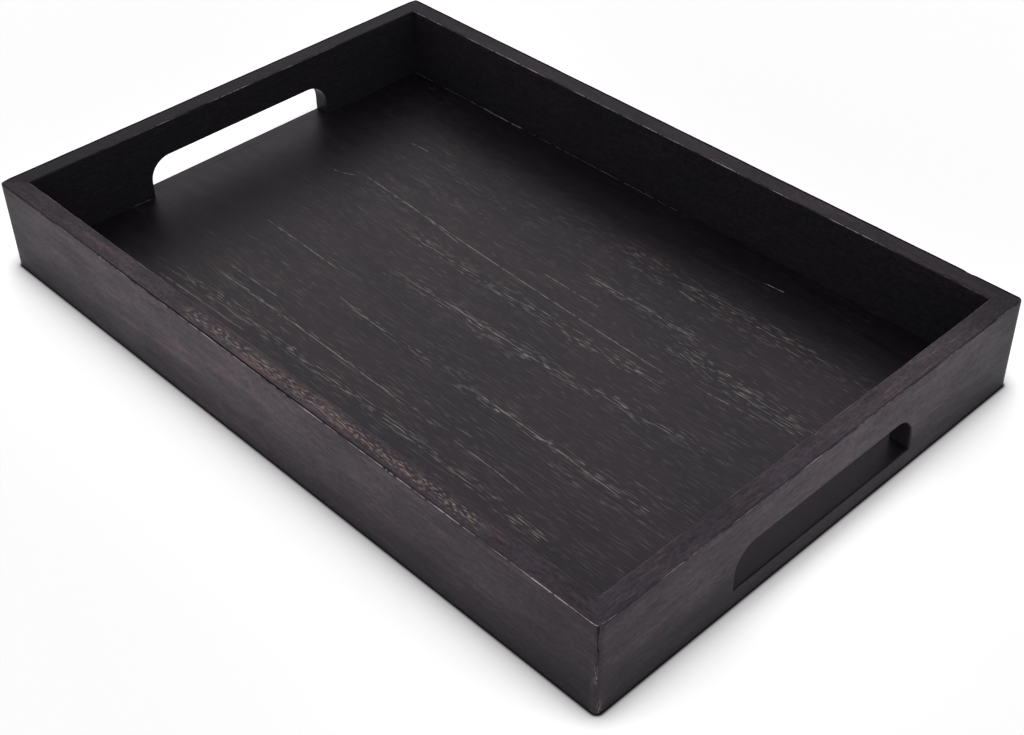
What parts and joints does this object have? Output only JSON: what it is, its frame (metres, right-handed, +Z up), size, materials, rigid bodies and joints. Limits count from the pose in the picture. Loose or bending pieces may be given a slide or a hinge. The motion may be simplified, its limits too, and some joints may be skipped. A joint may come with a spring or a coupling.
{
  "type": "serving tray",
  "caption": "Rectangular serving tray of black stained wood, with straight mitred walls, a flat floor of glued staves and a finger slot through each end wall.",
  "frame": {"origin": "middle of the tray's outline on the surface that it stands on", "axes": "+X along the tray's length, towards one slotted end wall; +Y across the width; +Z up out of the tray"},
  "size_m": [0.42, 0.28, 0.051],
  "materials": {
    "stained_rail": "satin black stain over hardwood, worn to brown along the edges",
    "stained_end_board": "satin black stain over hardwood, worn to brown along the edges",
    "stained_floor": "satin black stain over hardwood, with pale rubbed grain lines",
    "raw_key": "bare sawn beech"
  },
  "bodies": {
    "root": {"front_rail": "stained_rail", "back_rail": "stained_rail", "left_end_board": "stained_end_board", "right_end_board": "stained_end_board", "floor_stave_1": "stained_floor", "floor_stave_2": "stained_floor", "floor_stave_3": "stained_floor", "floor_stave_4": "stained_floor", "mitre_key_front_left": "raw_key", "mitre_key_front_right": "raw_key", "mitre_key_back_left": "raw_key", "mitre_key_back_right": "raw_key"}
  },
  "joints": []
}
